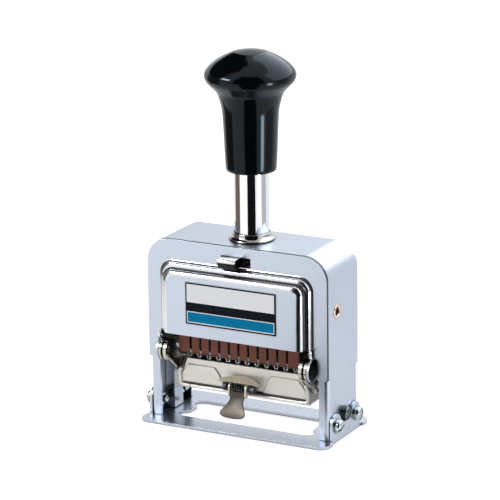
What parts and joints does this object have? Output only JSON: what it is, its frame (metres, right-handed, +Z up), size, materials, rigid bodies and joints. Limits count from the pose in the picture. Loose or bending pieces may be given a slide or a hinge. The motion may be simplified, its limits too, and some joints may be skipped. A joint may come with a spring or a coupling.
{
  "type": "hand numbering machine",
  "caption": "Hand numbering stamp: black knob on a sprung plunger, satin chrome arch frame, rows of number wheels, swinging ink pad and slotted base plate.",
  "frame": {"origin": "middle of the base plate's underside", "axes": "+Z up along the plunger, -Y towards the user, +X to the user's right along the wheel shaft"},
  "size_m": [0.0882, 0.0414, 0.153],
  "materials": {
    "satin_chrome": "satin chrome-plated sheet steel",
    "label_foil": "printed foil, bare of words",
    "bright_chrome": "polished chrome",
    "inner_steel": "plain oiled steel",
    "spring_steel": "blued spring wire",
    "zinc_plate": "bright zinc plating",
    "blackened_steel": "blackened steel",
    "copper_wash": "copper-washed steel",
    "black_knob": "high-gloss black phenolic",
    "shoe_bronze": "bearing bronze",
    "ground_steel": "ground steel",
    "brown_bronze": "browned phosphor bronze",
    "carrier_brass": "stamped brass",
    "cream_nickel": "warm nickel plate",
    "clip_tan": "satin nickel, tanned",
    "ink_felt": "inked felt",
    "type_steel": "engraved steel",
    "ratchet_steel": "stamped steel"
  },
  "bodies": {
    "frame": {"outer_frame": "satin_chrome", "front_cover": "satin_chrome", "rear_cover": "satin_chrome", "base_plate": "satin_chrome", "name_plate": "label_foil", "plunger_bush": "bright_chrome", "bush_nut": "inner_steel", "base_screws": "zinc_plate", "base_washers": "zinc_plate", "guide_rails": "bright_chrome", "rail_screws": "blackened_steel", "side_screws": "copper_wash", "pad_pivots": "bright_chrome", "spring_bar": "inner_steel"},
    "carriage": {"knob": "black_knob", "plunger_tube": "bright_chrome", "tube_plug": "inner_steel", "return_spring": "spring_steel", "carriage_yoke": "inner_steel", "carriage_sides": "inner_steel", "guide_shoes": "shoe_bronze", "wheel_shaft": "ground_steel", "shaft_clips": "inner_steel", "tie_rods": "inner_steel", "detent_springs": "brown_bronze"},
    "feed": {"pawl_carrier": "carrier_brass", "pawl_pin": "ground_steel", "feed_pawls": "inner_steel"},
    "arms": {"pad_arms": "cream_nickel"},
    "pad": {"pad_frame": "cream_nickel", "pad_tray": "zinc_plate", "ink_pad": "ink_felt", "clip_pin": "ground_steel"},
    "clip": {"release_clip": "clip_tan", "clip_spring": "spring_steel"},
    "catch": {"lock_catch": "bright_chrome"},
    "wheel_01": {"number_wheel_01": "type_steel", "ratchet_01": "ratchet_steel"},
    "wheel_02": {"number_wheel_02": "type_steel", "ratchet_02": "ratchet_steel"},
    "wheel_03": {"number_wheel_03": "type_steel", "ratchet_03": "ratchet_steel"},
    "wheel_04": {"number_wheel_04": "type_steel", "ratchet_04": "ratchet_steel"},
    "wheel_05": {"number_wheel_05": "type_steel", "ratchet_05": "ratchet_steel"},
    "wheel_06": {"number_wheel_06": "type_steel", "ratchet_06": "ratchet_steel"},
    "wheel_07": {"number_wheel_07": "type_steel", "ratchet_07": "ratchet_steel"},
    "wheel_08": {"number_wheel_08": "type_steel", "ratchet_08": "ratchet_steel"},
    "wheel_09": {"number_wheel_09": "type_steel", "ratchet_09": "ratchet_steel"},
    "wheel_10": {"number_wheel_10": "type_steel", "ratchet_10": "ratchet_steel"},
    "wheel_11": {"number_wheel_11": "type_steel", "ratchet_11": "ratchet_steel"},
    "wheel_12": {"number_wheel_12": "type_steel", "ratchet_12": "ratchet_steel"}
  },
  "joints": [
    {"name": "plunger_slide", "type": "slide", "parent": "frame", "child": "carriage", "axis": [0, 0, -1], "range_m": [0, 0.0215], "stiffness_N_per_m": 400, "springref_m": -0.02, "deforming": ["return_spring"]},
    {"name": "arm_swing", "type": "hinge", "parent": "frame", "child": "arms", "pos_m": [0, -0.0148, 0.0303], "axis": [-1, 0, 0], "range_deg": [0, 124]},
    {"name": "holder_tilt", "type": "hinge", "parent": "arms", "child": "pad", "pos_m": [0, -0.0035, 0.021], "axis": [1, 0, 0], "range_deg": [0, 62.5]},
    {"name": "feed_rock", "type": "hinge", "parent": "carriage", "child": "feed", "pos_m": [0, 0, 0.0316], "axis": [-1, 0, 0], "range_deg": [0, 46]},
    {"name": "clip_press", "type": "hinge", "parent": "pad", "child": "clip", "pos_m": [0, -0.0127, 0.0176], "axis": [1, 0, 0], "range_deg": [0, 25], "stiffness_Nm_per_rad": 0.02, "springref_deg": -11.46},
    {"name": "catch_slide", "type": "slide", "parent": "frame", "child": "catch", "axis": [1, 0, 0], "range_m": [0, 0.003]},
    {"name": "wheel_turn_01", "type": "hinge", "parent": "carriage", "child": "wheel_01", "pos_m": [0, 0, 0.0316], "axis": [1, 0, 0], "continuous": true},
    {"name": "wheel_turn_02", "type": "hinge", "parent": "carriage", "child": "wheel_02", "pos_m": [0, 0, 0.0316], "axis": [1, 0, 0], "continuous": true},
    {"name": "wheel_turn_03", "type": "hinge", "parent": "carriage", "child": "wheel_03", "pos_m": [0, 0, 0.0316], "axis": [1, 0, 0], "continuous": true},
    {"name": "wheel_turn_04", "type": "hinge", "parent": "carriage", "child": "wheel_04", "pos_m": [0, 0, 0.0316], "axis": [1, 0, 0], "continuous": true},
    {"name": "wheel_turn_05", "type": "hinge", "parent": "carriage", "child": "wheel_05", "pos_m": [0, 0, 0.0316], "axis": [1, 0, 0], "continuous": true},
    {"name": "wheel_turn_06", "type": "hinge", "parent": "carriage", "child": "wheel_06", "pos_m": [0, 0, 0.0316], "axis": [1, 0, 0], "continuous": true},
    {"name": "wheel_turn_07", "type": "hinge", "parent": "carriage", "child": "wheel_07", "pos_m": [0, 0, 0.0316], "axis": [1, 0, 0], "continuous": true},
    {"name": "wheel_turn_08", "type": "hinge", "parent": "carriage", "child": "wheel_08", "pos_m": [0, 0, 0.0316], "axis": [1, 0, 0], "continuous": true},
    {"name": "wheel_turn_09", "type": "hinge", "parent": "carriage", "child": "wheel_09", "pos_m": [0, 0, 0.0316], "axis": [1, 0, 0], "continuous": true},
    {"name": "wheel_turn_10", "type": "hinge", "parent": "carriage", "child": "wheel_10", "pos_m": [0, 0, 0.0316], "axis": [1, 0, 0], "continuous": true},
    {"name": "wheel_turn_11", "type": "hinge", "parent": "carriage", "child": "wheel_11", "pos_m": [0, 0, 0.0316], "axis": [1, 0, 0], "continuous": true},
    {"name": "wheel_turn_12", "type": "hinge", "parent": "carriage", "child": "wheel_12", "pos_m": [0, 0, 0.0316], "axis": [1, 0, 0], "continuous": true}
  ],
  "couplings": [
    {"joint": "arm_swing", "follows": "plunger_slide", "rad_per_m": 100},
    {"joint": "holder_tilt", "follows": "plunger_slide", "rad_per_m": 50},
    {"joint": "feed_rock", "follows": "plunger_slide", "rad_per_m": 36.5}
  ]
}
